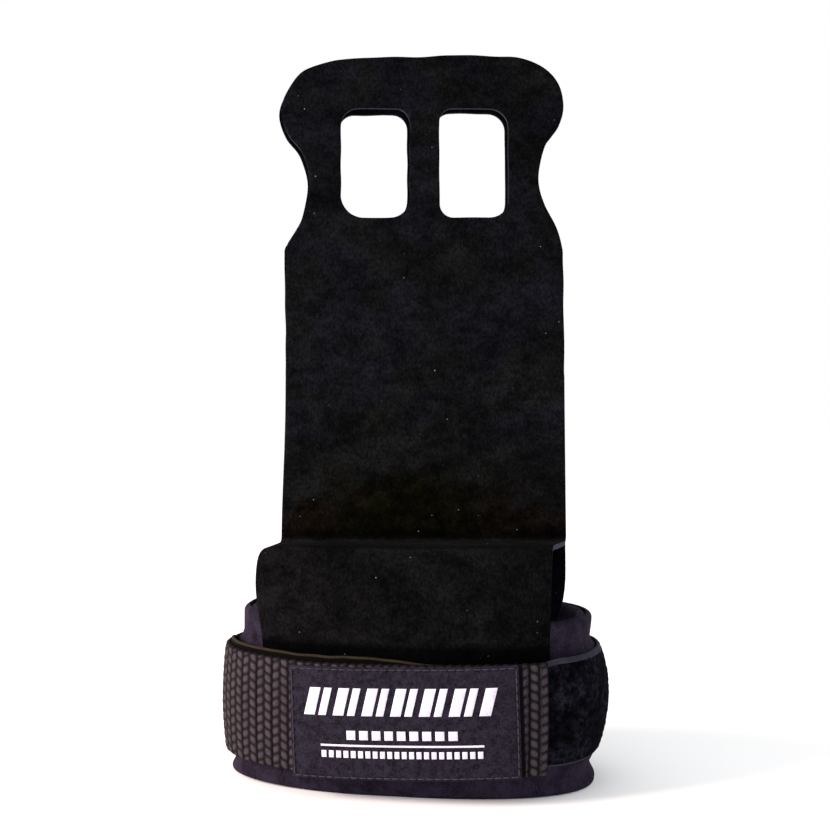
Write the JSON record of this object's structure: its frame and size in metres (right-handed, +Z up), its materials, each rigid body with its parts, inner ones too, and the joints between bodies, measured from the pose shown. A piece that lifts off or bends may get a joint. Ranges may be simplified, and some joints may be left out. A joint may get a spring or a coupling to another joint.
{
  "type": "gymnastics palm grip",
  "caption": "Leather palm guard with two finger windows, sewn into a padded oval wrist cuff closed by a hook-and-loop webbing strap.",
  "frame": {"origin": "centre of the footprint, on the surface the cuff stands on", "axes": "+Z up through the wrist opening and along the leather guard; the strap's labelled side faces -Y; +X to the right of someone looking at the label"},
  "size_m": [0.1323, 0.078, 0.2486],
  "materials": {
    "leather": "black suede, matt, napped",
    "leather_back": "black suede, matt, with paler cut edges",
    "neoprene": "closed-cell foam, matt",
    "jersey": "fine knit facing, purple-black",
    "webbing": "coarse plain-weave nylon webbing, brown-black",
    "loop_pile": "brushed loop pile, violet-black",
    "hook_tape": "woven hook tape, olive-brown backing",
    "label": "woven damask label, dark grey-purple",
    "thread": "bonded nylon sewing thread"
  },
  "bodies": {
    "cuff": {"cuff_foam": "neoprene", "cuff_outer_jersey": "jersey", "cuff_lining": "jersey", "cuff_seam_thread_outer": "thread", "cuff_seam_thread_inner": "thread", "front_leather_wrist": "leather", "back_leather_wrist": "leather_back", "leather_stitch_outer_lower": "thread", "leather_stitch_outer_upper": "thread", "leather_stitch_inner_lower": "thread", "leather_stitch_inner_upper": "thread", "loop_band": "loop_pile", "webbing_back": "webbing", "strap_anchor_stitch_1": "thread", "strap_anchor_stitch_2": "thread"},
    "strap_tab": {"webbing_tab": "webbing", "hook_patch": "hook_tape", "label": "label", "label_stitch": "thread", "tab_end_stitch_1": "thread", "tab_end_stitch_2": "thread"},
    "palm": {"front_leather_palm": "leather", "back_leather_palm": "leather_back"},
    "fingers": {"front_leather_head": "leather", "back_leather_head": "leather_back"}
  },
  "joints": [
    {"name": "palm_fold", "type": "hinge", "parent": "cuff", "child": "palm", "pos_m": [0.00384, -0.00222, 0.08522], "axis": [0.9842, 0.1771, 0], "range_deg": [-80, 80]},
    {"name": "finger_curl", "type": "hinge", "parent": "palm", "child": "fingers", "pos_m": [0.00175, 0.00941, 0.18432], "axis": [0.9842, 0.1771, 0], "range_deg": [-60, 85]},
    {"name": "strap_peel", "type": "hinge", "parent": "cuff", "child": "strap_tab", "pos_m": [-0.06395, -0.01016, 0.027], "axis": [0, 0, -1], "range_deg": [0, 100]}
  ]
}
